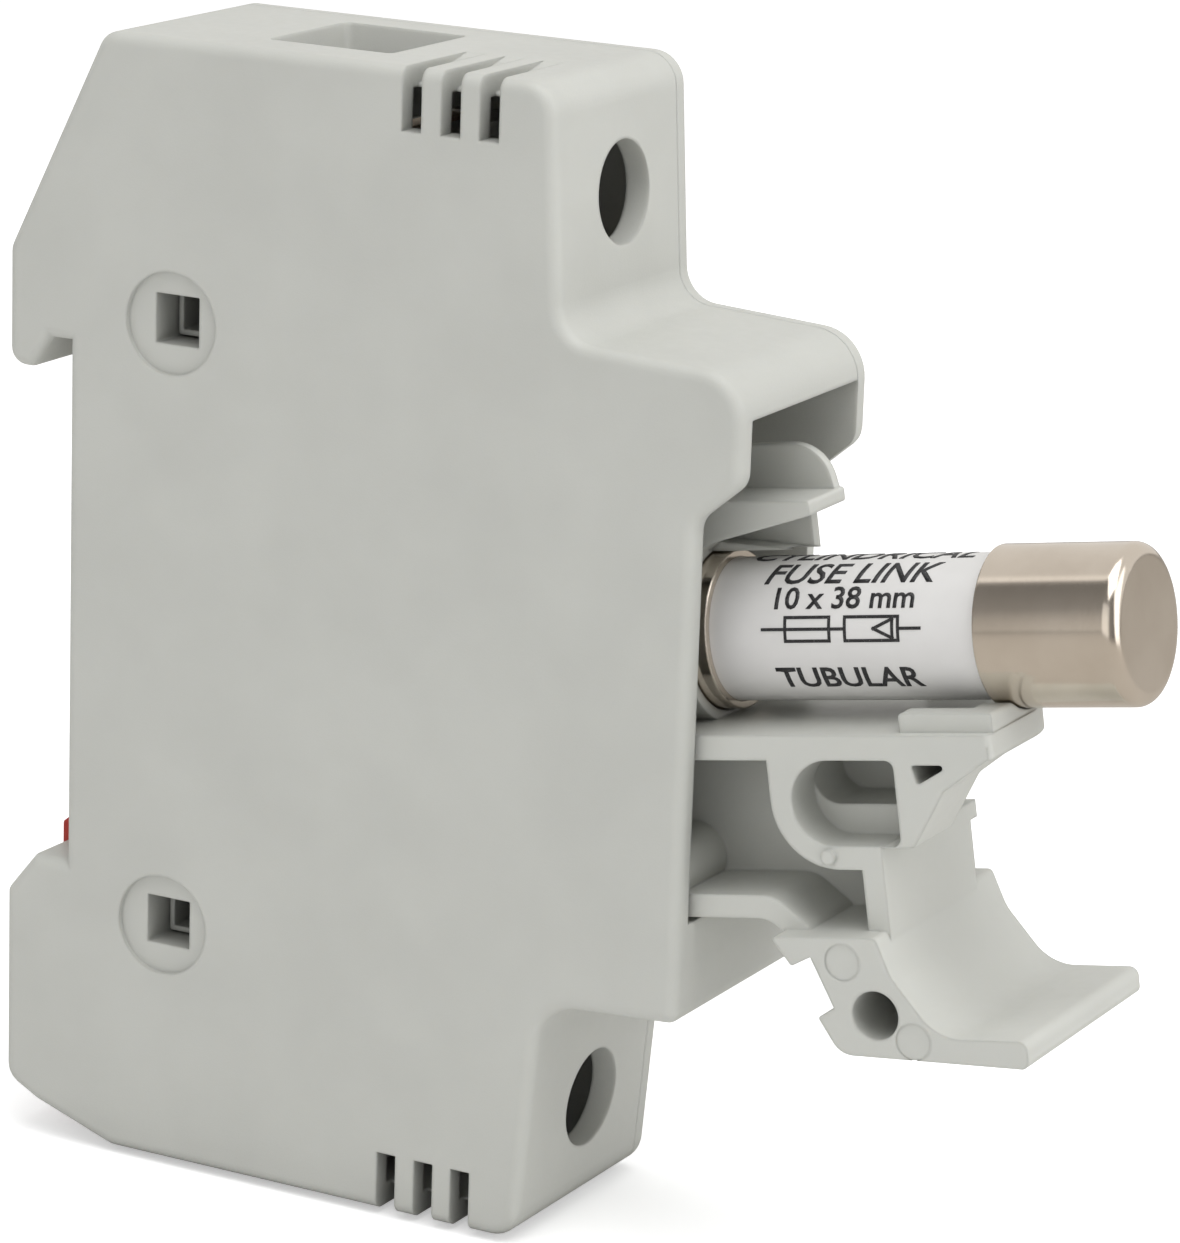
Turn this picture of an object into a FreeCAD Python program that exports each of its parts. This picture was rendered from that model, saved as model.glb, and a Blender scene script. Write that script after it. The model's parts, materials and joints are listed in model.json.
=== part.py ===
# Hinged cartridge fuse holder for a 35 mm rail, one module wide, shown open with a 10 x 38 fuse.
# Millimetres. X is the width, -Y is the front, +Z is up. Y = 0 is the face that sits on the rail,
# Z = 0 is the middle of the rail. The carrier and the fuse are drawn closed and then swung open.
import FreeCAD, Part
import math
import os

V = FreeCAD.Vector
DIMENSIONS = [
    # alias, value, meaning
    ("module_width", 18.0, "overall width of the holder"),
    ("wall", 1.4, "moulded wall"),
    ("cover_thickness", 1.6, "side cover plate"),
    ("top_level", 38.6, "top of the housing"),
    ("bottom_level", -38.2, "underside of the housing"),
    ("rail_lip_depth", 4.85, "how far the rail hooks reach behind the rail face"),
    ("slot_top", 17.7, "upper edge of the rail slot"),
    ("slot_bottom", -18.4, "lower edge of the rail slot"),
    ("front_face", -47.0, "front of the middle section"),
    ("nose_face", -50.1, "front of the nose"),
    ("terminal_face", -36.0, "front of the terminals at top and bottom"),
    ("edge_round", 0.8, "rounding of the outer edges"),
    ("pivot_depth", -44.0, "carrier hinge, Y"),
    ("pivot_level", -12.0, "carrier hinge, Z"),
    ("open_angle", 80.47, "how far the carrier stands open"),
    ("pin_radius", 1.25, "hinge pin"),
    ("pin_play", 0.05, "running clearance on moving round fits"),
    ("carrier_width", 14.0, "inner part of the carrier"),
    ("handle_width", 17.6, "handle of the carrier"),
    ("fuse_axis", -29.27, "fuse axis when closed, Y"),
    ("fuse_middle", 2.08, "middle of the half drawn fuse when closed, Z"),
    ("fuse_length", 38.0, "fuse overall length"),
    ("cap_radius", 5.15, "fuse end cap"),
    ("cap_length", 9.7, "fuse end cap length"),
    ("cap_wall", 0.5, "fuse end cap sheet"),
    ("tube_bore", 3.3, "bore radius of the ceramic tube"),
    ("screw_level", 30.65, "terminal screw axis above and below the middle"),
    ("access_radius", 3.4, "screwdriver opening"),
    ("screw_head_radius", 3.0, "terminal screw head"),
    ("screw_radius", 2.45, "terminal screw shank"),
    ("seal_hole_radius", 1.6, "seal hole through the handle"),
    ("latch_width", 9.0, "rail latch"),
    ("strip_thickness", 1.5, "copper strip"),
    ("strip_width", 8.0, "copper strip width"),
    ("spring_wire", 0.25, "latch spring wire radius"),
    ("spring_radius", 1.7, "latch spring mean radius"),
    ("post_half", 1.5, "half the width of a square snap post of the cover"),
    ("post_wall", 0.35, "wall of a snap post"),
    ("post_play", 0.18, "gap around a snap post in its hole"),
]

doc = FreeCAD.newDocument("fuse_holder")
sheet = doc.addObject("Spreadsheet::Sheet", "Dims")
for row, (alias, value, meaning) in enumerate(DIMENSIONS, start=1):
    sheet.set("A%d" % row, meaning)
    sheet.set("B%d" % row, str(value))
    sheet.setAlias("B%d" % row, alias)
doc.recompute()


def dim(alias):
    return float(sheet.get(alias))


HALF = dim("module_width") / 2
WALL = dim("wall")
INNER = HALF - dim("cover_thickness")
PIVOT = (dim("pivot_depth"), dim("pivot_level"))
AXIS = dim("fuse_axis")
SCREW = dim("screw_level")
OPEN = FreeCAD.Placement(V(0, 0, 0), FreeCAD.Rotation(V(1, 0, 0), dim("open_angle")), V(0, *PIVOT))
parts = []


def finish(item, label, placement=None):
    """Give a finished sub-part its label and resting place and list it for export."""
    item.Label = label
    if placement is not None:
        item.Placement = placement
    parts.append(item)
    return item


# ---------------------------------------------------------------- outlines and features

def rounded(corners):
    """Lines and arcs of a closed outline; a corner is (a, b) or (a, b, radius)."""
    count = len(corners)
    bends = []
    for index, corner in enumerate(corners):
        here = V(corner[0], corner[1], 0)
        radius = corner[2] if len(corner) > 2 else 0.0
        if radius == 0.0:
            bends.append((here, here, None))
            continue
        before = V(*corners[index - 1][:2], 0) - here
        after = V(*corners[(index + 1) % count][:2], 0) - here
        before.normalize()
        after.normalize()
        half = before.getAngle(after) / 2
        start = here + before * (radius / math.tan(half))
        end = here + after * (radius / math.tan(half))
        middle = before + after
        middle.normalize()
        crest = here + middle * (radius / math.sin(half) - radius)
        bends.append((start, end, crest))
    outline = []
    for index, (start, end, crest) in enumerate(bends):
        if crest is not None:
            outline.append(Part.Arc(start, crest, end))
        following = bends[(index + 1) % count][0]
        if (following - end).Length > 1e-6:
            outline.append(Part.LineSegment(end, following))
    return outline


def ring_line(a, b, radius):
    return [Part.Circle(V(a, b, 0), V(0, 0, 1), radius)]


def new_body(name):
    return doc.addObject("PartDesign::Body", name + "_body")


def sketch(body, name, plane, outline, level):
    """A sketch on one of the body's origin planes, moved along the plane's normal."""
    item = body.newObject("Sketcher::SketchObject", name)
    base = [f for f in body.Origin.OriginFeatures if f.Role == plane][0]
    item.AttachmentSupport = [(base, "")]
    item.MapMode = "FlatFace"
    item.addGeometry(outline, False)
    if isinstance(level, str):
        item.setExpression("AttachmentOffset.Base.z", level)
    else:
        item.AttachmentOffset = FreeCAD.Placement(V(0, 0, level), FreeCAD.Rotation())
    return item


def feature(kind, body, name, plane, outline, level, length):
    drawn = sketch(body, name + "_sketch", plane, outline, level)
    item = body.newObject("PartDesign::" + kind, name)
    item.Profile = drawn
    if isinstance(length, str):
        item.setExpression("Length", length)
    else:
        item.Length = length
    doc.recompute()
    return item


def pad(body, name, outline, level, length, plane="YZ_Plane"):
    """Grow the outline along the plane's normal, starting at the level."""
    return feature("Pad", body, name, plane, outline, level, length)


def cut(body, name, outline, level, length, plane="YZ_Plane"):
    """Remove the outline along the plane's normal, starting at the level."""
    before = body.Shape.Volume
    item = feature("Pocket", body, name, plane, outline, level, length)
    item.Reversed = True
    doc.recompute()
    if body.Shape.Volume > before - 1e-4:
        raise RuntimeError(name + " removed nothing")
    return item


def soften(body, base, name, radius, wanted):
    """Round every edge of the base feature for which wanted(edge) is true."""
    names = ["Edge%d" % (i + 1) for i, edge in enumerate(base.Shape.Edges) if wanted(edge)]
    item = body.newObject("PartDesign::Fillet", name)
    item.Base = (base, names)
    item.setExpression("Radius", radius)
    doc.recompute()
    return item


def on_face(level):
    """True for edges that lie wholly in the plane X = level."""
    return lambda edge: all(abs(v.X - level) < 1e-6 for v in edge.Vertexes)


def rectangle(a0, a1, b0, b1, radius=0.0):
    return rounded([(a0, b0, radius), (a1, b0, radius), (a1, b1, radius), (a0, b1, radius)])


def square(a, b, half, radius=0.0):
    return rectangle(a - half, a + half, b - half, b + half, radius)


# ---------------------------------------------------------------- housing

def side_outline():
    """The holder seen from the side: (Y, Z) corners with their radii."""
    top, bottom, lip = dim("top_level"), dim("bottom_level"), dim("rail_lip_depth")
    front, nose, terminal = dim("front_face"), dim("nose_face"), dim("terminal_face")
    return rounded([
        (terminal, top, 2.2),
        (-2.5, top, 1.6),
        (lip, 23.5, 1.5),
        (lip, 15.5, 1.2),
        (3.0, 15.5, 0.4),
        (1.5, dim("slot_top")),
        (0.0, dim("slot_top")),
        (0.0, dim("slot_bottom")),
        (2.6, dim("slot_bottom"), 0.3),
        (lip, -21.2, 0.6),
        (lip, -34.8, 1.6),
        (2.4, -36.1, 1.5),
        (-3.8, bottom, 2.0),
        (terminal + 0.2, bottom, 2.2),
        (terminal - 1.1, -21.6, 2.8),
        (front, -21.0, 0.8),
        (front, 12.2, 1.6),
        (nose, 14.9, 1.6),
        (nose, 21.8, 3.2),
        (terminal - 1.0, 22.5, 2.4),
    ])


def cavity_outline():
    """The inside of the housing, open to the front between nose and lower front wall."""
    return rounded([
        (-34.4, 37.1, 0.8),
        (-4.6, 37.1, 0.8),
        (-1.6, 30.0, 0.8),
        (-1.6, -14.6, 0.8),
        (-5.2, -17.8, 0.8),
        (-5.2, -36.7, 0.8),
        (-34.2, -36.7, 0.8),
        (-35.3, -20.2, 0.8),
        (-45.6, -19.6, 0.6),
        (-45.6, -14.5),
        (-54.0, -14.5),
        (-54.0, 18.9),
        (-48.4, 18.9, 0.4),
        (-48.4, 20.5, 0.6),
        (-35.4, 20.9, 0.8),
    ])


VENTS = (-25.9, -28.75, -31.55)
VENT_WIDTH = 1.44
POSTS = ((-8.35, 20.1), (-8.25, -21.25))
RAIL_REACH = 4.2
BACK_RAILS = (
    ("upper_back_rail", rectangle(-15.0, -13.7, 4.0, 22.0, 0.3)),
    ("lower_back_rail", rectangle(-17.3, -16.0, -23.5, -15.2, 0.3)),
)


def vent_outline(sign):
    """Side view of one vent across the corner, fading out over the end face: (X, Z)."""
    end = dim("top_level") if sign > 0 else dim("bottom_level")
    return rounded([
        (-HALF - 1, end + sign),
        (-HALF - 1, end - sign * 4.1),
        (-HALF + 1.7, end - sign * 4.1, 0.5),
        (-HALF + 1.9, end - sign * 1.3, 0.4),
        (-0.6, end + sign * 0.05),
        (-0.6, end + sign),
    ])


def screw_opening(body, name, sign):
    """Round opening in the front wall that lets a screwdriver in to one terminal screw."""
    cut(body, name + "_bore", ring_line(0, sign * SCREW, dim("access_radius")), 32.8, 6.0, "XZ_Plane")


def wire_funnel(body, name, sign):
    """Funnel for one conductor: wide at the end face, narrow inside."""
    end = dim("top_level") if sign > 0 else dim("bottom_level")
    deep = end - sign * 4.2
    start = min(deep, end - sign * 0.7)
    wide = rectangle(-4.9, 4.9, -21.9, -12.6, 0.5)
    narrow = rectangle(-3.9, 3.9, -20.6, -13.4, 0.5)
    pad(body, name + "_guide", rectangle(-5.4, 5.4, -22.8, -11.6, 0.6), start, 3.5, "XY_Plane")
    mouth = sketch(body, name + "_mouth", "XY_Plane", wide, end + sign * 0.01)
    throat = sketch(body, name + "_throat", "XY_Plane", narrow, deep - sign * 0.01)
    funnel = body.newObject("PartDesign::SubtractiveLoft", name)
    funnel.Profile = mouth
    funnel.Sections = [throat]
    doc.recompute()


def main_housing():
    body = new_body("main_housing")
    shell = pad(body, "shell", side_outline(), "-Dims.module_width / 2",
                "Dims.module_width - Dims.cover_thickness")
    soften(body, shell, "near_edges", "Dims.edge_round", on_face(-HALF))
    cut(body, "cavity", cavity_outline(), "-Dims.module_width / 2 + Dims.wall", "Dims.module_width")
    for name, outline in BACK_RAILS:
        pad(body, name, outline, -HALF + WALL, RAIL_REACH)
    for name, sign in (("upper_access", 1), ("lower_access", -1)):
        screw_opening(body, name, sign)
    for name, sign in (("upper_entry", 1), ("lower_entry", -1)):
        wire_funnel(body, name, sign)
    for index, middle in enumerate(VENTS):
        edge = -middle - VENT_WIDTH / 2
        for name, sign in (("upper_vent", 1), ("lower_vent", -1)):
            cut(body, "%s_%d" % (name, index + 1), vent_outline(sign), edge, VENT_WIDTH, "XZ_Plane")
    hole_half = dim("post_half") + dim("post_play")
    for name, (a, b) in zip(("upper_snap", "lower_snap"), POSTS):
        pad(body, name + "_collar", square(a, b, hole_half + 0.9, 0.3), -HALF + WALL - 0.1, 2.1)
        cut(body, name + "_dish", ring_line(a + 0.3, b - 0.2, 3.45), -HALF - 0.6, 1.0)
        cut(body, name + "_hole", square(a, b, hole_half, 0.1), -HALF - 0.6, 4.2)
    half_latch = dim("latch_width") / 2 + 0.1
    cut(body, "latch_channel", rectangle(-3.1, 3.3, -40.0, -20.0), -half_latch, 2 * half_latch)
    cut(body, "latch_window", rectangle(1.0, 3.3, -21.0, -17.0), -half_latch, 2 * half_latch)
    pad(body, "spring_seat", rectangle(-3.4, 1.4, -33.2, -31.6), -2.3, 4.6)
    seat_radius = dim("pin_radius") + dim("pin_play")
    cut(body, "near_pin_seat", ring_line(*PIVOT, seat_radius), -HALF + WALL - 0.8, 1.0)
    return finish(body, "main_housing")


def side_cover():
    """Plate that closes the housing, with two hollow square posts that snap into it."""
    body = new_body("side_cover")
    plate = pad(body, "plate", side_outline(), INNER, "Dims.cover_thickness")
    soften(body, plate, "far_edges", "Dims.edge_round", on_face(HALF))
    post_end = -HALF + 2.9
    hollow_half = dim("post_half") - dim("post_wall")
    for name, (a, b) in zip(("upper_post", "lower_post"), POSTS):
        pad(body, name, square(a, b, dim("post_half"), 0.2), post_end, INNER - post_end + 0.1)
        cut(body, name + "_hollow", square(a, b, hollow_half, 0.1), post_end - 0.5, INNER - post_end - 1.0)
    for name, outline in BACK_RAILS:
        pad(body, name, outline, INNER - RAIL_REACH, RAIL_REACH + 0.1)
    seat_radius = dim("pin_radius") + dim("pin_play")
    cut(body, "far_pin_seat", ring_line(*PIVOT, seat_radius), INNER - 0.1, 0.9)
    return finish(body, "side_cover")


# ---------------------------------------------------------------- carrier

def handle_outline():
    return rounded([
        (-47.3, -3.0, 0.2),
        (-49.2, -1.7, 0.2),
        (-48.6, -0.3),
        (-51.9, 1.0),
        (-52.5, -0.2, 0.2),
        (-54.9, 1.1, 1.6),
        (-55.5, 14.1, 0.5),
        (-53.7, 14.1, 0.6),
        (-53.7, 8.0, 3.4),
        (-49.8, 5.2, 3.0),
        (-47.3, 4.4, 0.4),
    ])


def arm_outline():
    return rounded([
        (-46.6, -12.0),
        (-46.6, -4.0, 2.0),
        (-48.2, -2.0),
        (-48.2, -0.6),
        (-47.1, -1.1, 0.8),
        (-45.1, -3.4, 2.4),
        (-45.1, -12.0),
    ])


def ring_outline():
    return rounded([
        (-35.5, -2.85),
        (-43.35, -2.85, 4.4),
        (-43.35, 4.6),
        (-35.5, 4.6),
    ])


def pocket_outline(floor, outer):
    """D-shaped pocket under the tray, round towards the hinge: its floor and outer limit."""
    roof = -36.3
    bend = (roof - floor) / 2 - 0.05
    return rounded([
        (roof, -1.36, bend),
        (floor, -1.36, bend),
        (floor, outer, 0.6),
        (roof, outer, 0.6),
    ])


def brace_outline():
    """Triangular brace between the tray and the outer plate."""
    return rounded([
        (-35.5, 3.2),
        (-35.5, 12.6),
        (-36.2, 12.6, 0.2),
        (-38.3, 9.3, 0.8),
        (-41.9, 6.9, 0.4),
        (-41.9, 3.2),
    ])


def web_outline():
    """Middle wall of the carrier, from the hinge to the outer plate."""
    return rounded([
        (-35.5, -13.0),
        (-35.5, 9.0),
        (-37.0, 9.0, 0.4),
        (-39.9, 5.9, 0.4),
        (-41.6, 4.5),
        (-47.5, 4.5),
        (-47.5, -1.5),
        (-45.3, -4.0),
        (-45.3, -11.0),
        (-43.0, -13.0),
    ])


def tray_outline():
    """The tray from above, (X, Z), with its far outer corner well rounded."""
    half = dim("carrier_width") / 2
    return rounded([
        (-half, -14.9, 0.4),
        (half, -14.9, 0.4),
        (half, 12.8, 7.6),
        (-half, 12.8, 0.5),
    ])


def fuse_carrier():
    body = new_body("fuse_carrier")
    wide = "-Dims.handle_width / 2"
    narrow = "-Dims.carrier_width / 2"
    pad(body, "handle", handle_outline(), wide, "Dims.handle_width")
    pad(body, "arm", arm_outline(), narrow, "Dims.carrier_width")
    pad(body, "barrel", ring_line(*PIVOT, 2.2), narrow, "Dims.carrier_width")
    pad(body, "plate", rectangle(-48.0, -41.6, 3.1, 4.6), narrow, 13.0)
    pad(body, "tray", tray_outline(), 34.7, 1.6, "XZ_Plane")
    pad(body, "ring", ring_outline(), narrow, "Dims.carrier_width")
    pad(body, "brace", brace_outline(), narrow, 5.4)
    pad(body, "web", web_outline(), -0.8, 1.6)
    cut(body, "near_pocket", pocket_outline(-41.85, 6.0), -8.0, 4.3)
    cut(body, "ledge_pocket", pocket_outline(-39.9, 6.0), -3.8, 4.3)
    cut(body, "far_pocket", pocket_outline(-42.2, 7.5), 1.7, 6.3)
    triangle = [(-36.6, 7.2, 0.2), (-36.6, 10.0, 0.2), (-37.9, 7.5, 0.2)]
    cut(body, "brace_triangle", rounded(triangle), -8.0, 6.0)
    pad(body, "near_pad", rectangle(-34.9, -33.5, 6.3, 10.8, 0.2), -6.2, 1.7)
    pad(body, "far_pad", rectangle(-34.9, -33.5, 3.0, 7.5, 0.2), 4.5, 1.7)
    pad(body, "end_block", rectangle(-34.9, -33.5, 10.6, 12.7, 0.2), -6.2, 6.9)
    pad(body, "collar", ring_line(0, AXIS, 5.95), -14.9, 6.4, "XY_Plane")
    bridge = [
        (AXIS + 5.4, -14.9),
        (AXIS + 5.4, -8.5),
        (-23.1, -7.3),
        (-21.4, 0.1, 0.2),
        (-20.5, 0.1, 0.2),
        (-20.0, -14.9),
    ]
    pad(body, "bridge", rounded(bridge), -3.2, 5.1)
    fin = [(-21.0, -14.9), (-21.0, -0.1), (-20.4, -0.2), (-17.5, -0.8, 2.8), (-17.5, -14.9, 0.6)]
    pad(body, "fin", rounded(fin), 1.1, 0.8)
    pad(body, "bridge_wall", rectangle(-24.9, -21.3, -14.9, -2.0), 1.0, 0.9)
    slope = [(-24.5, -14.9), (-24.5, -2.3), (-24.1, -2.3), (-22.6, -14.9)]
    pad(body, "bridge_slope", rounded(slope), -0.6, 1.7)
    cut(body, "fuse_passage", ring_line(0, AXIS, 5.25), -16.0, 31.0, "XY_Plane")
    bore = dim("pin_radius") + dim("pin_play")
    cut(body, "pin_bore", ring_line(*PIVOT, bore), -8.0, 16.0)
    cut(body, "seal_hole", ring_line(-52.3, 3.85, dim("seal_hole_radius")), -HALF - 1, 2 * HALF + 2)
    half_handle = dim("handle_width") / 2
    for name, a, b in (("upper_mark", -53.95, 6.3), ("lower_mark", -48.9, 1.9)):
        cut(body, name, ring_line(a, b, 1.2), -half_handle - 0.5, 0.62)
    pad(body, "gate_nub", ring_line(-42.5, 0.9, 0.5), -7.35, 0.5)
    return finish(body, "fuse_carrier", OPEN)


def hinge_pin():
    pin = doc.addObject("Part::Cylinder", "hinge_pin_stock")
    pin.setExpression("Radius", "Dims.pin_radius")
    pin.Height = INNER + HALF - WALL + 1.4
    start = V(-HALF + WALL - 0.7, *PIVOT)
    return finish(pin, "hinge_pin", FreeCAD.Placement(start, FreeCAD.Rotation(V(0, 1, 0), 90)))


# ---------------------------------------------------------------- fuse

def cylinder(name, radius, height, base):
    item = doc.addObject("Part::Cylinder", name)
    item.setExpression("Radius", radius)
    item.setExpression("Height", height)
    item.Placement.Base = base
    return item


def difference(name, base, tool):
    item = doc.addObject("Part::Cut", name)
    item.Base = base
    item.Tool = tool
    return item


def fuse_cap(label, outward):
    """Drawn metal cup; outward is +1 for the cap at the free end."""
    body = new_body(label)
    radius, wall, length = dim("cap_radius"), dim("cap_wall"), dim("cap_length")
    end = dim("fuse_middle") + outward * dim("fuse_length") / 2
    mouth = end - outward * length
    inside = end - outward * wall
    cup = [
        (radius - wall, mouth),
        (radius, mouth, 0.1),
        (radius, end, 0.9),
        (0.0, end),
        (0.0, inside),
        (radius - wall, inside),
    ]
    drawn = sketch(body, label + "_sketch", "XZ_Plane", rounded(cup), "-Dims.fuse_axis")
    turned = body.newObject("PartDesign::Revolution", label + "_turned")
    turned.Profile = drawn
    turned.ReferenceAxis = (drawn, ["V_Axis"])
    turned.Angle = 360
    doc.recompute()
    return finish(body, label, OPEN)


def fuse_tube():
    start = V(0, AXIS, dim("fuse_middle") - dim("fuse_length") / 2 + dim("cap_wall"))
    outer = cylinder("tube_outer", "Dims.cap_radius - Dims.cap_wall - 0.02",
                     "Dims.fuse_length - 2 * Dims.cap_wall", start)
    inner = cylinder("tube_inner", "Dims.tube_bore", "Dims.fuse_length - 2 * Dims.cap_wall", start)
    return finish(difference("tube_cut", outer, inner), "fuse_tube", OPEN)


def element_outline(play):
    """Fuse strip with its necks, flat in the (X, Z) plane."""
    low = dim("fuse_middle") - dim("fuse_length") / 2 + dim("cap_wall")
    high = low + dim("fuse_length") - 2 * dim("cap_wall")
    half, neck, pitch = 1.6 + play, 0.7 + play, 7.4
    right = []
    for index in range(4):
        middle = dim("fuse_middle") + (index - 1.5) * pitch
        right += [(half, middle - 1.2), (neck, middle - 0.4), (neck, middle + 0.4), (half, middle + 1.2)]
    left = [(-a, b) for a, b in reversed(right)]
    return rounded([(half, low)] + right + [(half, high), (-half, high)] + left + [(-half, low)])


def fuse_element():
    body = new_body("fuse_element")
    pad(body, "strip", element_outline(0.0), -AXIS - 0.1, 0.2, "XZ_Plane")
    return finish(body, "fuse_element", OPEN)


def fuse_filling():
    body = new_body("fuse_filling")
    low = dim("fuse_middle") - dim("fuse_length") / 2 + dim("cap_wall")
    pad(body, "sand", ring_line(0, AXIS, dim("tube_bore") - 0.02), low,
        "Dims.fuse_length - 2 * Dims.cap_wall", "XY_Plane")
    cut(body, "strip_gap", element_outline(0.02), -AXIS - 0.12, 0.24, "XZ_Plane")
    return finish(body, "fuse_filling", OPEN)


# ---------------------------------------------------------------- contacts and terminals

RIVET_RADIUS = 1.0
RIVETS = ((-18.0, -15.08, 8.5), (-20.3, -17.48, -20.5))


def rivet_hole(body, label, level):
    """Hole for the rivet that holds clip, spring and copper strip together."""
    cut(body, label + "_rivet_hole", ring_line(0, level, RIVET_RADIUS), 14.0, 8.0, "XZ_Plane")


def rivet_level(low):
    return RIVETS[0][2] if low > 0 else RIVETS[1][2]


def contact_clip(label, back, low, reach):
    """Bent copper clip whose two cheeks stand each side of a fuse cap."""
    body = new_body(label)
    height = 6.0 if low > 0 else 8.0
    pad(body, label + "_back", rectangle(-6.0, 6.0, back, back + 0.8, 0.3), low, height, "XY_Plane")
    for side in (-1, 1):
        tip = [
            (side * 5.25, back + 0.4),
            (side * 5.25, back - reach + 1.2, 1.5),
            (side * 5.6, back - reach),
            (side * 6.35, back - reach),
            (side * 6.0, back - reach + 1.4, 1.5),
            (side * 6.0, back + 0.4),
        ]
        cheek = label + ("_far_cheek" if side > 0 else "_near_cheek")
        pad(body, cheek, rounded(tip), low, height, "XY_Plane")
    rivet_hole(body, label, rivet_level(low))
    return finish(body, label)


def clip_spring(label, back, low, reach):
    """Thin steel staple that squeezes the clip from outside."""
    body = new_body(label)
    height = 2.6
    middle = low + (3.0 if low > 0 else 4.0) - height / 2
    front = back - reach
    staple = [
        (-6.02, front),
        (-6.02, back, 0.3),
        (6.02, back, 0.3),
        (6.02, front),
        (6.42, front),
        (6.42, back + 0.4, 0.7),
        (-6.42, back + 0.4, 0.7),
        (-6.42, front),
    ]
    pad(body, label + "_staple", rounded(staple), middle, height, "XY_Plane")
    rivet_hole(body, label, rivet_level(low))
    return finish(body, label)


def contact_rivets():
    """Two solid rivets: heads on the clip and behind the copper strip."""
    stock = []
    for front, back, level in RIVETS:
        axis = V(0, 1, 0)
        shank = Part.makeCylinder(RIVET_RADIUS, back - front, V(0, front, level), axis)
        head = Part.makeCylinder(1.8, 0.6, V(0, front - 0.6, level), axis)
        tail = Part.makeCylinder(1.7, 0.5, V(0, back, level), axis)
        stock.append(head.fuse(shank).fuse(tail).removeSplitter())
    item = doc.addObject("Part::Feature", "contact_rivets_stock")
    item.Shape = Part.makeCompound(stock)
    return finish(item, "contact_rivets")


def busbar(label, back, clip_end, step, tongue_end):
    """Copper strip from the back of a clip to the tongue in its terminal: (Y, Z) bends."""
    body = new_body(label)
    thick = dim("strip_thickness")
    sign = 1 if tongue_end > 0 else -1
    tongue = -21.0
    outline = [
        (back, clip_end),
        (back, step, 0.8),
        (tongue - thick, step + sign * 4.0, 0.8),
        (tongue - thick, tongue_end),
        (tongue, tongue_end),
        (tongue, step + sign * 4.6, 0.8),
        (back + thick, step + sign * 0.6, 0.8),
        (back + thick, clip_end),
    ]
    pad(body, label + "_strip", rounded(outline), "-Dims.strip_width / 2", "Dims.strip_width")
    rivet_hole(body, label, rivet_level(tongue_end))
    return finish(body, label)


def terminal_cage(label, sign):
    """Square steel cage: the screw draws its back wall towards the copper tongue."""
    body = new_body(label)
    low = sign * SCREW - 3.2
    pad(body, label + "_block", rectangle(-5.4, 5.4, -26.0, -11.4, 1.0), low, 6.4, "XY_Plane")
    cut(body, label + "_window", rectangle(-4.15, 4.15, -23.9, -12.8, 0.6), low - 1, 8.4, "XY_Plane")
    bore = dim("screw_radius") + dim("pin_play")
    cut(body, label + "_thread", ring_line(0, sign * SCREW, bore), 23.0, 4.0, "XZ_Plane")
    return finish(body, label)


def terminal_screw(label, sign):
    """Cheese head screw with a cross slot, its head facing the access bore."""
    body = new_body(label)
    level = sign * SCREW
    pad(body, label + "_shank", ring_line(0, level, dim("screw_radius")), 22.6, 8.2, "XZ_Plane")
    pad(body, label + "_head", ring_line(0, level, dim("screw_head_radius")), 30.4, 2.4, "XZ_Plane")
    slot = rectangle(-0.45, 0.45, level - 4, level + 4)
    cross = rectangle(-4, 4, level - 0.45, level + 0.45)
    cut(body, label + "_slot", slot, 31.5, 2.0, "XZ_Plane")
    cut(body, label + "_cross", cross, 31.5, 2.0, "XZ_Plane")
    return finish(body, label)


# ---------------------------------------------------------------- rail latch

def rail_latch():
    body = new_body("rail_latch")
    half = dim("latch_width") / 2
    side = [
        (-2.9, -38.0, 0.3),
        (3.1, -36.3, 0.5),
        (3.1, -17.2, 0.3),
        (1.2, -15.6, 0.3),
        (1.2, -21.3),
        (-2.9, -21.3, 0.4),
    ]
    pad(body, "latch_side", rounded(side), -half, 2 * half)
    cut(body, "spring_pocket", rectangle(-4.0, 1.9, -37.0, -24.0), -2.5, 5.0)
    return finish(body, "rail_latch")


def latch_spring():
    low, high = -31.55, -24.05
    wire, radius = dim("spring_wire"), dim("spring_radius")
    coils = Part.makeHelix((high - low - 2 * wire) / 5.0, high - low - 2 * wire, radius)
    section = Part.Wire(Part.Circle(V(radius, 0, 0), V(0, 1, 0), wire).toShape())
    item = doc.addObject("Part::Feature", "latch_spring_coil")
    item.Shape = Part.Wire(coils.Edges).makePipeShell([section], True, True)
    return finish(item, "latch_spring", FreeCAD.Placement(V(0, -0.4, low + wire), FreeCAD.Rotation()))


# ---------------------------------------------------------------- the whole holder

main_housing()
side_cover()
fuse_carrier()
hinge_pin()
fuse_tube()
fuse_cap("fuse_cap_outer", 1)
fuse_cap("fuse_cap_inner", -1)
fuse_element()
fuse_filling()
contact_clip("upper_contact_clip", -18.0, 5.5, 12.0)
contact_clip("lower_contact_clip", -20.3, -24.5, 12.5)
clip_spring("upper_clip_spring", -17.18, 5.5, 9.0)
clip_spring("lower_clip_spring", -19.48, -24.5, 9.0)
busbar("upper_busbar", -16.58, 5.5, 20.0, 33.7)
busbar("lower_busbar", -18.98, -16.5, -24.9, -33.6)
contact_rivets()
terminal_cage("upper_terminal_cage", 1)
terminal_cage("lower_terminal_cage", -1)
terminal_screw("upper_terminal_screw", 1)
terminal_screw("lower_terminal_screw", -1)
rail_latch()
latch_spring()

doc.recompute()
for item in doc.Objects:
    if "Invalid" in item.State or "Error" in item.State:
        raise RuntimeError("%s failed: %s" % (item.Label, item.State))
for item in parts:
    if item.Shape.isNull() or not item.Shape.isValid():
        raise RuntimeError(item.Label + " has no valid shape")

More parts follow.
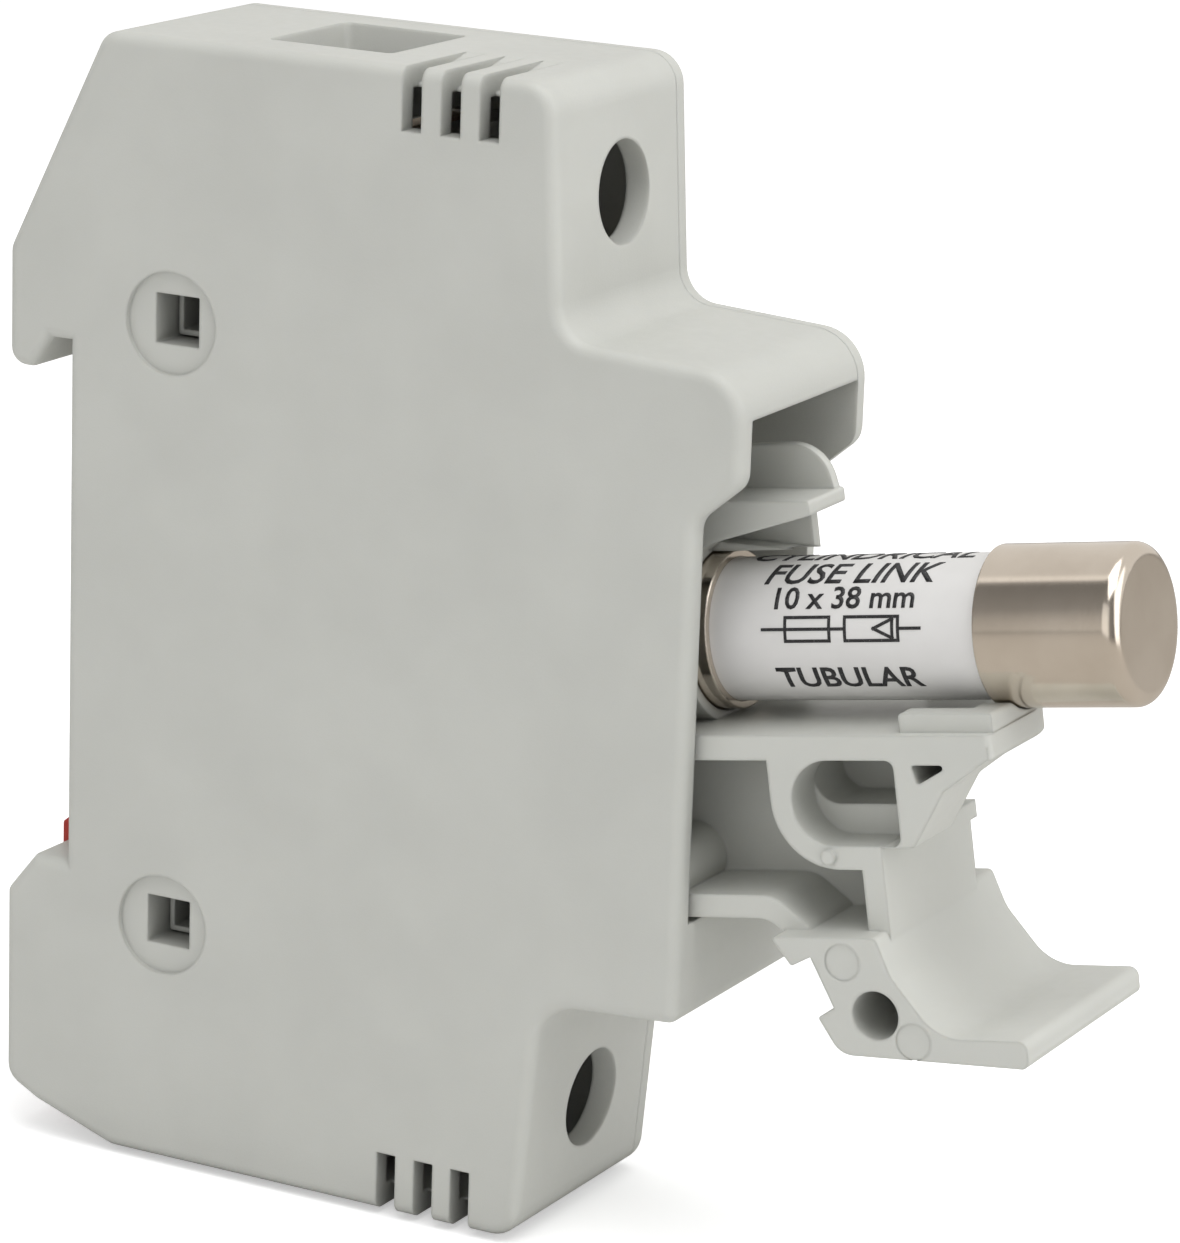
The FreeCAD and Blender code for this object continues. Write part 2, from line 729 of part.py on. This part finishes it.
os.makedirs("parts", exist_ok=True)
for item in parts:
    item.Shape.exportStep("parts/%s.step" % item.Label)
    print("%-24s %9.2f mm3 %d solid" % (item.Label, item.Shape.Volume, len(item.Shape.Solids)))
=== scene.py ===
"""Looks for the hinged cartridge fuse holder: plastics, metals, ceramic, fuse marking, light and camera.

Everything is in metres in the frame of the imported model: X is the width, -Y is the front, Z is up.
"""
import json
import math

import bmesh
import bpy
from mathutils import Matrix, Vector


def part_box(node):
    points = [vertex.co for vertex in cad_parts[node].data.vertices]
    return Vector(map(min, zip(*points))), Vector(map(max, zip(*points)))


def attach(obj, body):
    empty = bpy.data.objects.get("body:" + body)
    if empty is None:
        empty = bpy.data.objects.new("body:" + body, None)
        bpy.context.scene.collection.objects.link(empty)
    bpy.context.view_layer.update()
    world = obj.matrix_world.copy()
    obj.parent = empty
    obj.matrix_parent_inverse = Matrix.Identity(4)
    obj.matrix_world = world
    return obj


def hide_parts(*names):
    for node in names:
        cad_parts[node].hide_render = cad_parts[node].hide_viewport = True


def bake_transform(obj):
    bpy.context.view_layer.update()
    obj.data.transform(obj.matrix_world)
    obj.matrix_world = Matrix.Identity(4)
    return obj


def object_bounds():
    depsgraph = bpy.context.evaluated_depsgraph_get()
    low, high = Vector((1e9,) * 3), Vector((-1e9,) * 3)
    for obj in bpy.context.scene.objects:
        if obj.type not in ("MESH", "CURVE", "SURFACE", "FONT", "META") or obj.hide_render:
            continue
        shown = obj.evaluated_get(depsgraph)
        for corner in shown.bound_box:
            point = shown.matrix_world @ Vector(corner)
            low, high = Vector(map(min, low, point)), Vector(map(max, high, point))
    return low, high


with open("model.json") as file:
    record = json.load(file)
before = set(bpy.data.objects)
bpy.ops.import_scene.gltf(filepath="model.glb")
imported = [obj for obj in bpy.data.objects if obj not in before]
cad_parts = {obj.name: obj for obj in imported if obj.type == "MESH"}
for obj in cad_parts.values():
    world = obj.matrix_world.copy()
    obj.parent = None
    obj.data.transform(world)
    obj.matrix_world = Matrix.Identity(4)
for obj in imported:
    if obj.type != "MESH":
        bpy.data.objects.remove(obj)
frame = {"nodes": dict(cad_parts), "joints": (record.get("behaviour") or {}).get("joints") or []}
CAD_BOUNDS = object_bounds()
MM = 0.001
WHITE = (1, 1, 1, 1)


# ---------------------------------------------------------------- shader building blocks

class Shader:
    """A node material with short calls for the nodes used here."""

    def __init__(self, name):
        self.material = bpy.data.materials.new(name)
        self.material.use_nodes = True
        self.tree = self.material.node_tree
        self.surface = self.tree.nodes["Principled BSDF"]
        self.place = self.node("ShaderNodeTexCoord").outputs["Object"]

    def node(self, kind, **settings):
        """Add a node; settings are its own properties or, failing that, its inputs."""
        made = self.tree.nodes.new(kind)
        for key, value in settings.items():
            if hasattr(made, key):
                setattr(made, key, value)
            else:
                self.set(made.inputs[key.replace("_", " ").title()], value)
        return made

    def set(self, socket, value):
        """Give an input a plain value, or link another node's output to it."""
        if isinstance(value, bpy.types.NodeSocket):
            self.tree.links.new(value, socket)
        else:
            socket.default_value = value

    def shade(self, **values):
        """Set inputs of the surface; names use underscores for spaces."""
        for key, value in values.items():
            self.set(self.surface.inputs[key.replace("_", " ").title().replace("Ior", "IOR")], value)

    def noise(self, size, detail=3.0, rough=0.55, stretch=None):
        """Noise from 0 to 1 whose patches are about size metres across."""
        place = self.place
        if stretch:
            mapping = self.node("ShaderNodeMapping")
            self.set(mapping.inputs["Vector"], place)
            mapping.inputs["Scale"].default_value = stretch
            place = mapping.outputs["Vector"]
        made = self.node("ShaderNodeTexNoise", scale=1.0 / size, detail=detail, roughness=rough)
        self.set(made.inputs["Vector"], place)
        return made.outputs["Fac"]

    def ramp(self, value, low, high, start=0.0, end=1.0):
        """Go evenly from start to end as value goes from low to high."""
        made = self.node("ShaderNodeMapRange")
        self.set(made.inputs["Value"], value)
        for name, number in (("From Min", low), ("From Max", high), ("To Min", start), ("To Max", end)):
            self.set(made.inputs[name], number)
        return made.outputs["Result"]

    def mix(self, share, first, second):
        """Blend two colours; the numbers are the colour sockets of the mix node."""
        made = self.node("ShaderNodeMix", data_type="RGBA")
        self.set(made.inputs[0], share)
        self.set(made.inputs[6], first)
        self.set(made.inputs[7], second)
        return made.outputs[2]

    def maths(self, operation, first, second):
        made = self.node("ShaderNodeMath", operation=operation)
        self.set(made.inputs[0], first)
        self.set(made.inputs[1], second)
        return made.outputs[0]

    def edges(self, radius):
        """The rounded normal near sharp edges, and a mask that is 1 on those edges."""
        bevel = self.node("ShaderNodeBevel", samples=4)
        bevel.inputs["Radius"].default_value = radius
        geometry = self.node("ShaderNodeNewGeometry")
        facing = self.node("ShaderNodeVectorMath", operation="DOT_PRODUCT")
        self.set(facing.inputs[0], bevel.outputs["Normal"])
        self.set(facing.inputs[1], geometry.outputs["Normal"])
        return bevel.outputs["Normal"], self.ramp(facing.outputs["Value"], 0.995, 0.8)

    def openness(self, reach):
        """1 where a surface sees the room, towards 0 deep inside a hole."""
        made = self.node("ShaderNodeAmbientOcclusion", samples=4)
        made.inputs["Distance"].default_value = reach
        return made.outputs["AO"]

    def ray(self, kind):
        """1 for rays of this kind, such as Camera or Glossy, and 0 for the rest."""
        return self.node("ShaderNodeLightPath").outputs["Is %s Ray" % kind]

    def bump(self, height, depth, strength, normal=None):
        """Raise the surface by up to depth metres where height is 1."""
        made = self.node("ShaderNodeBump")
        self.set(made.inputs["Height"], height)
        self.set(made.inputs["Distance"], depth)
        self.set(made.inputs["Strength"], strength)
        if normal is not None:
            self.set(made.inputs["Normal"], normal)
        return made.outputs["Normal"]


def pale_grey(value):
    """The slightly yellow-green grey of the mouldings."""
    return (value * 0.99, value, value * 0.935, 1.0)


def scaled(colour, factor):
    """The colour made lighter or darker, at most white."""
    return tuple(min(1.0, channel * factor) for channel in colour[:3]) + (1.0,)


def moulded_plastic(name, colour, shade_colour, rough, grain, painted_shade_share):
    """Moulded thermoplastic: fine eroded grain, faint flow mottling, a painted highlight on the edges and
    painted shade in the hollows.
    """
    s = Shader(name)
    rounded, edge = s.edges(0.35 * MM)
    mottle = s.noise(9 * MM, detail=2.0)
    body = s.mix(s.ramp(mottle, 0.35, 0.65), shade_colour, colour)
    # Painted highlight: the colour is made paler on sharp edges.
    body = s.mix(s.maths("MULTIPLY", edge, 0.55), body, scaled(colour, 1.12))
    # Painted shade: the colour darkens deep in holes and hollows, where the room is hidden.
    body = s.mix(s.ramp(s.openness(9 * MM), 0.03, 0.38), scaled(colour, painted_shade_share), body)
    fine = s.noise(0.14 * MM, detail=2.0)
    speck = s.ramp(s.noise(0.9 * MM), 0.3, 0.7, rough - 0.04, rough + 0.05)
    s.shade(base_color=body, roughness=s.maths("SUBTRACT", speck, s.maths("MULTIPLY", edge, 0.08)),
            normal=s.bump(fine, grain, 0.5, rounded), specular_ior_level=0.42)
    s.shade(subsurface_weight=0.08, subsurface_radius=(1.0, 0.85, 0.6), subsurface_scale=0.8 * MM)
    return s.material


def metal(name, colour, dark, rough, brushed):
    """Metal with brushing along one axis, tarnish in patches, and bright edges that show wear and also a
    painted highlight.
    """
    s = Shader(name)
    rounded, edge = s.edges(0.12 * MM)
    tarnish = s.ramp(s.noise(3.5 * MM, detail=5.0), 0.4, 0.75, 0.0, 0.35)
    body = s.mix(tarnish, colour, dark)
    # Paler sharp edges: wear, and also a painted highlight.
    body = s.mix(s.maths("MULTIPLY", edge, 0.7), body, scaled(colour, 1.2))
    lines = s.noise(0.25 * MM, detail=4.0, stretch=brushed)
    s.shade(base_color=body, metallic=1.0, roughness=s.ramp(lines, 0.3, 0.7, rough - 0.06, rough + 0.08),
            normal=s.bump(lines, 0.004 * MM, 0.6, rounded))
    return s.material


def cap_nickel():
    """Drawn nickel-plated brass: warm, soft mirror with fine rings and a few handling marks."""
    s = Shader("nickel_cap")
    rounded, edge = s.edges(0.15 * MM)
    cloud = s.ramp(s.noise(4 * MM, detail=4.0), 0.35, 0.7)
    body = s.mix(cloud, (0.76, 0.685, 0.60, 1), (0.70, 0.625, 0.54, 1))
    # Painted highlight: the colour is made paler on sharp edges.
    body = s.mix(s.maths("MULTIPLY", edge, 0.6), body, (0.95, 0.91, 0.84, 1))
    rings = s.noise(0.12 * MM, detail=3.0, stretch=(0.12, 1.0, 0.12))
    scuffs = s.ramp(s.noise(0.8 * MM, detail=6.0, rough=0.7), 0.6, 0.75, 0.0, 0.05)
    shine = s.ramp(rings, 0.3, 0.7, 0.13, 0.17)
    s.shade(base_color=body, metallic=1.0, roughness=s.maths("ADD", shine, scuffs),
            normal=s.bump(rings, 0.002 * MM, 0.5, rounded))
    return s.material


def white_ceramic():
    """Fine pressed ceramic: matt white with faint grey pores and a painted highlight on its edges."""
    s = Shader("fuse_ceramic")
    rounded, edge = s.edges(0.2 * MM)
    pores = s.ramp(s.noise(0.35 * MM, detail=5.0), 0.62, 0.78, 0.0, 0.35)
    tone = s.mix(s.ramp(s.noise(5 * MM), 0.3, 0.7), (0.70, 0.69, 0.675, 1), (0.735, 0.725, 0.71, 1))
    body = s.mix(pores, tone, (0.70, 0.70, 0.69, 1))
    # Painted highlight: sharp edges are made near white.
    s.shade(base_color=s.mix(edge, body, (0.95, 0.95, 0.95, 1)), roughness=s.ramp(pores, 0, 0.35, 0.34, 0.6),
            normal=s.bump(s.noise(0.2 * MM), 0.006 * MM, 0.5, rounded))
    return s.material


def marking_ink():
    """Printed black ink with slightly broken coverage."""
    s = Shader("marking_ink")
    worn = s.ramp(s.noise(0.12 * MM, detail=4.0), 0.58, 0.75)
    s.shade(base_color=s.mix(worn, (0.018, 0.018, 0.02, 1), (0.16, 0.16, 0.16, 1)),
            roughness=s.ramp(worn, 0, 1, 0.5, 0.75))
    return s.material


def quartz_sand():
    """Packed pale grains."""
    s = Shader("quartz_sand")
    grains = s.noise(0.4 * MM, detail=6.0, rough=0.8)
    s.shade(base_color=s.mix(grains, (0.62, 0.56, 0.47, 1), (0.85, 0.82, 0.76, 1)), roughness=0.9,
            normal=s.bump(grains, 0.1 * MM, 0.8))
    return s.material


def paint(material, *names):
    """Give CAD nodes this finish in every one of their material slots."""
    for name in names:
        mesh = frame["nodes"][name].data
        mesh.materials.clear()
        mesh.materials.append(material)


# ---------------------------------------------------------------- finishes of the CAD nodes

HOUSING = moulded_plastic("housing_plastic", pale_grey(0.56), pale_grey(0.535), 0.46, 0.018 * MM, 0.40)
CARRIER = moulded_plastic("carrier_plastic", pale_grey(0.59), pale_grey(0.57), 0.40, 0.008 * MM, 0.75)
RED, DEEP_RED = (0.42, 0.03, 0.02, 1), (0.36, 0.025, 0.02, 1)
LATCH = moulded_plastic("latch_plastic", RED, DEEP_RED, 0.42, 0.008 * MM, 0.60)

# Brushing runs along the axis whose share is small, because the noise is stretched most there.
ACROSS, FRONT_TO_BACK, UP_AND_DOWN = (0.2, 1.0, 1.0), (1.0, 0.1, 1.0), (1.0, 1.0, 0.1)
STEEL = metal("zinc_steel", (0.62, 0.62, 0.61, 1), (0.42, 0.41, 0.38, 1), 0.34, FRONT_TO_BACK)
COPPER = metal("tinned_copper", (0.74, 0.60, 0.48, 1), (0.52, 0.38, 0.27, 1), 0.36, UP_AND_DOWN)
SPRING = metal("spring_steel", (0.34, 0.35, 0.38, 1), (0.18, 0.17, 0.17, 1), 0.3, ACROSS)
SILVER = metal("silver_strip", (0.86, 0.85, 0.82, 1), (0.6, 0.58, 0.55, 1), 0.25, FRONT_TO_BACK)

paint(HOUSING, "main_housing", "side_cover")
paint(CARRIER, "fuse_carrier")
paint(LATCH, "rail_latch")
paint(STEEL, "hinge_pin", "upper_terminal_cage", "lower_terminal_cage", "upper_terminal_screw",
      "lower_terminal_screw")
paint(COPPER, "upper_contact_clip", "lower_contact_clip", "upper_busbar", "lower_busbar", "contact_rivets")
paint(SPRING, "upper_clip_spring", "lower_clip_spring", "latch_spring")
paint(cap_nickel(), "fuse_cap_outer", "fuse_cap_inner")
paint(white_ceramic(), "fuse_tube")
paint(quartz_sand(), "fuse_filling")
paint(SILVER, "fuse_element")


# ---------------------------------------------------------------- marking on the fuse

FUSE_OUT = next(Vector(joint["axis"]) for joint in frame["joints"] if joint["name"] == "fuse_withdrawal")
FUSE_UP = Vector((0, FUSE_OUT.z, -FUSE_OUT.y))
TUBE_LOW, TUBE_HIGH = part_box("fuse_tube")
CERAMIC_RADIUS = (TUBE_HIGH.x - TUBE_LOW.x) / 2
PRINT_LIFT = 0.03 * MM
PRINT_THICKNESS = 0.05 * MM
HALF_STROKE = 0.1 * MM
STRIP = 0.35 * MM
SLANTED, UPRIGHT = 0.25, 0.0


def add_words(flat, words, height, level, slant, weight):
    """Add a centred row of lettering to the flat marking; level is the height of its middle."""
    row = bpy.data.curves.new("words", "FONT")
    row.body = words
    row.size = height
    row.shear = slant
    row.offset = weight
    row.align_x = "CENTER"
    row.align_y = "CENTER"
    row.resolution_u = 3
    holder = bpy.data.objects.new("words", row)
    mesh = bpy.data.meshes.new_from_object(holder)
    mesh.transform(Matrix.Translation((0, level, 0)))
    flat.from_mesh(mesh)


def add_line(flat, *points):
    """Add a thin straight-sided line through the given points of the flat marking."""
    for first, last in zip(points, points[1:]):
        start, end = Vector(first) * MM, Vector(last) * MM
        along = (end - start).normalized() * HALF_STROKE
        across = Vector((-along.y, along.x))
        corners = (start - along - across, end + along - across, end + along + across, start - along + across)
        flat.faces.new([flat.verts.new((c.x, c.y, 0)) for c in corners])


def add_symbols(flat, level):
    """The general sign for a fuse, and a box with an arrowhead, joined by a line; lengths in mm."""
    box_half, arrow_half, arrow_tip, arrow_foot = 0.75, 0.6, 2.3, 3.6
    fuse_box, arrow_box, line_end = (-3.9, -0.8), (0.3, 4.0), 5.5
    low, high = level - box_half, level + box_half
    for left, right in (fuse_box, arrow_box):
        add_line(flat, (left, low), (right, low), (right, high), (left, high), (left, low))
    add_line(flat, (-line_end, level), (arrow_box[0], level))
    add_line(flat, (arrow_box[1], level), (line_end, level))
    low, high = level - arrow_half, level + arrow_half
    add_line(flat, (arrow_foot, high), (arrow_tip, level), (arrow_foot, low), (arrow_foot, high))


def fuse_marking():
    """Generic black print, drawn flat and then wrapped round the ceramic."""
    flat = bmesh.new()
    add_words(flat, "CYLINDRICAL", 2.5 * MM, 7.2 * MM, SLANTED, 0.03 * MM)
    add_words(flat, "FUSE LINK", 2.6 * MM, 4.75 * MM, SLANTED, 0.03 * MM)
    add_words(flat, "10 x 38 mm", 2.1 * MM, 2.82 * MM, UPRIGHT, 0.03 * MM)
    add_symbols(flat, 0.87)
    add_words(flat, "TUBULAR", 2.3 * MM, -2.6 * MM, UPRIGHT, 0.04 * MM)
    # Narrow strips let the print bend round the tube.
    for step in range(-12, 27):
        everything = flat.verts[:] + flat.edges[:] + flat.faces[:]
        bmesh.ops.bisect_plane(flat, geom=everything, plane_co=(0, step * STRIP, 0), plane_no=(0, 1, 0))
    centre = (TUBE_LOW + TUBE_HIGH) / 2
    for corner in flat.verts:
        along, angle = corner.co.x, corner.co.y / CERAMIC_RADIUS
        outward = Vector((-math.cos(angle), 0, 0)) + FUSE_UP * math.sin(angle)
        corner.co = centre + FUSE_OUT * along + outward * (CERAMIC_RADIUS + PRINT_LIFT)
    mesh = bpy.data.meshes.new("fuse_marking")
    flat.to_mesh(mesh)
    flat.free()
    mesh.materials.append(marking_ink())
    marking = bpy.data.objects.new("fuse_marking", mesh)
    bpy.context.scene.collection.objects.link(marking)
    ink = marking.modifiers.new("print thickness", "SOLIDIFY")
    ink.thickness = PRINT_THICKNESS
    ink.offset = -1.0
    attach(marking, "fuse")


# ---------------------------------------------------------------- latch spring as a coil

def coil_spring():
    """Five-turn coil that fills the room of the CAD spring, which it replaces; the CAD spring is hidden."""
    wire, turns, steps = 0.25 * MM, 5, 160
    low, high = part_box("latch_spring")
    middle = (low + high) / 2
    foot, top = Vector((middle.x, middle.y, low.z)), Vector((middle.x, middle.y, high.z))
    radius = (high.x - low.x) / 2 - wire
    rise = top.z - foot.z - 2 * wire
    path = bpy.data.curves.new("coil", "CURVE")
    path.dimensions = "3D"
    path.bevel_depth = wire
    path.bevel_resolution = 3
    path.use_fill_caps = True
    line = path.splines.new("POLY")
    line.points.add(steps)
    for index, point in enumerate(line.points):
        share = index / steps
        angle = share * turns * 2 * math.pi
        place = foot + Vector((radius * math.cos(angle), radius * math.sin(angle), wire + rise * share))
        point.co = (*place, 1)
    holder = bpy.data.objects.new("coil", path)
    mesh = bpy.data.meshes.new_from_object(holder)
    mesh.materials.clear()
    mesh.materials.append(SPRING)
    for face in mesh.polygons:
        face.use_smooth = True
    spring = bpy.data.objects.new("latch_spring_coil", mesh)
    bpy.context.scene.collection.objects.link(spring)
    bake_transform(spring)
    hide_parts("latch_spring")


fuse_marking()
coil_spring()


# ---------------------------------------------------------------- light, floor and camera

# The floor glows for the camera only, and shiny metal sees it duller than it is.
FLOOR_GLOW = 0.42
DULL_FLOOR = (0.54, 0.51, 0.47, 1)


def area_light(name, place, target, width, height, power):
    """A soft box of width by height metres at place, facing the target."""
    lamp = bpy.data.lights.new(name, "AREA")
    lamp.shape = "RECTANGLE"
    lamp.size, lamp.size_y = width, height
    lamp.energy = power
    item = bpy.data.objects.new(name, lamp)
    bpy.context.scene.collection.objects.link(item)
    item.location = place
    item.rotation_euler = (target - place).to_track_quat("-Z", "Y").to_euler()


def studio(centre, floor_level):
    """Pale floor and soft boxes over, in front of and beside the holder."""
    mesh = bpy.data.meshes.new("floor")
    half = 4.0
    corners = [(x, y, floor_level) for x, y in ((-half, -half), (half, -half), (half, half), (-half, half))]
    mesh.from_pydata(corners, [], [(0, 1, 2, 3)])
    floor = bpy.data.objects.new("floor", mesh)
    bpy.context.scene.collection.objects.link(floor)
    s = Shader("floor_white")
    s.shade(base_color=s.mix(s.ray("Glossy"), (0.93, 0.93, 0.93, 1), DULL_FLOOR), roughness=0.9,
            emission_color=WHITE, emission_strength=s.maths("MULTIPLY", s.ray("Camera"), FLOOR_GLOW))
    mesh.materials.append(s.material)
    area_light("top_box", centre + Vector((-0.10, -0.12, 0.55)), centre, 0.5, 0.5, 1.9)
    area_light("front_box", centre + Vector((0.10, -0.60, 0.22)), centre, 0.5, 0.6, 1.1)
    area_light("side_box", centre + Vector((-0.60, -0.05, 0.20)), centre, 0.6, 0.5, 0.4)


# Place across the room, from 0 at the near side to 1 at the cover side, and brightness there.
ROOM_BANDS = ((0.12, 0.28), (0.34, 0.19), (0.38, 0.30), (0.395, 1.1), (0.43, 1.0), (0.47, 0.72))
ROOM_ENDS = ((0.66, 0.63, 0.58, 1), (0.82, 0.80, 0.77, 1))
ROOM_LIGHT = 0.56


def surround():
    """White backdrop to the camera, even grey for light, and a banded room for shiny metal."""
    world = bpy.data.worlds.new("surround")
    bpy.context.scene.world = world
    world.use_nodes = True
    tree = world.node_tree
    path = tree.nodes.new("ShaderNodeLightPath")
    direction = tree.nodes.new("ShaderNodeTexCoord")
    split = tree.nodes.new("ShaderNodeSeparateXYZ")
    tree.links.new(direction.outputs["Generated"], split.inputs[0])
    across = tree.nodes.new("ShaderNodeMapRange")
    across.inputs["From Min"].default_value = -1.0
    tree.links.new(split.outputs["X"], across.inputs["Value"])
    room = tree.nodes.new("ShaderNodeValToRGB")
    tree.links.new(across.outputs["Result"], room.inputs["Fac"])
    bands = room.color_ramp.elements
    bands[0].color, bands[1].color = ROOM_ENDS
    for position, level in ROOM_BANDS:
        bands.new(position).color = (level, level * 0.97, level * 0.93, 1)
    even, banded, backdrop = (tree.nodes.new("ShaderNodeBackground") for _ in range(3))
    for shade in (even, backdrop):
        shade.inputs["Color"].default_value = WHITE
    even.inputs["Strength"].default_value = ROOM_LIGHT
    tree.links.new(room.outputs["Color"], banded.inputs["Color"])
    light = even.outputs[0]
    for kind, shade in (("Is Glossy Ray", banded), ("Is Camera Ray", backdrop)):
        choice = tree.nodes.new("ShaderNodeMixShader")
        tree.links.new(path.outputs[kind], choice.inputs[0])
        tree.links.new(light, choice.inputs[1])
        tree.links.new(shade.outputs[0], choice.inputs[2])
        light = choice.outputs[0]
    tree.links.new(light, tree.nodes["World Output"].inputs["Surface"])


def photo_camera(target, azimuth, elevation, roll, distance, lens):
    """Camera on a sphere round the target; azimuth 0 looks along +Y."""
    back = Vector((math.sin(azimuth) * math.cos(elevation), -math.cos(azimuth) * math.cos(elevation),
                   math.sin(elevation)))
    data = bpy.data.cameras.new("camera")
    data.lens = lens
    data.sensor_width = 36.0
    data.clip_start = 0.01
    camera = bpy.data.objects.new("camera", data)
    bpy.context.scene.collection.objects.link(camera)
    turn = (-back).to_track_quat("-Z", "Y").to_matrix().to_4x4()
    camera.matrix_world = Matrix.Translation(target + back * distance) @ turn @ Matrix.Rotation(roll, 4, "Z")
    bpy.context.scene.camera = camera


CAMERA_TARGET = Vector((0.0, -35.08, 2.03)) * MM
CAMERA_AZIMUTH, CAMERA_ELEVATION, CAMERA_ROLL = (math.radians(angle) for angle in (-61.81, 14.90, 1.96))
CAMERA_DISTANCE = 341.7 * MM
CAMERA_LENS = 151.44
FLOOR_GAP = 0.4 * MM

cad_low, cad_high = CAD_BOUNDS
studio((cad_low + cad_high) / 2, cad_low.z - FLOOR_GAP)
surround()
photo_camera(CAMERA_TARGET, CAMERA_AZIMUTH, CAMERA_ELEVATION, CAMERA_ROLL, CAMERA_DISTANCE, CAMERA_LENS)
bpy.context.scene.view_settings.view_transform = "Standard"
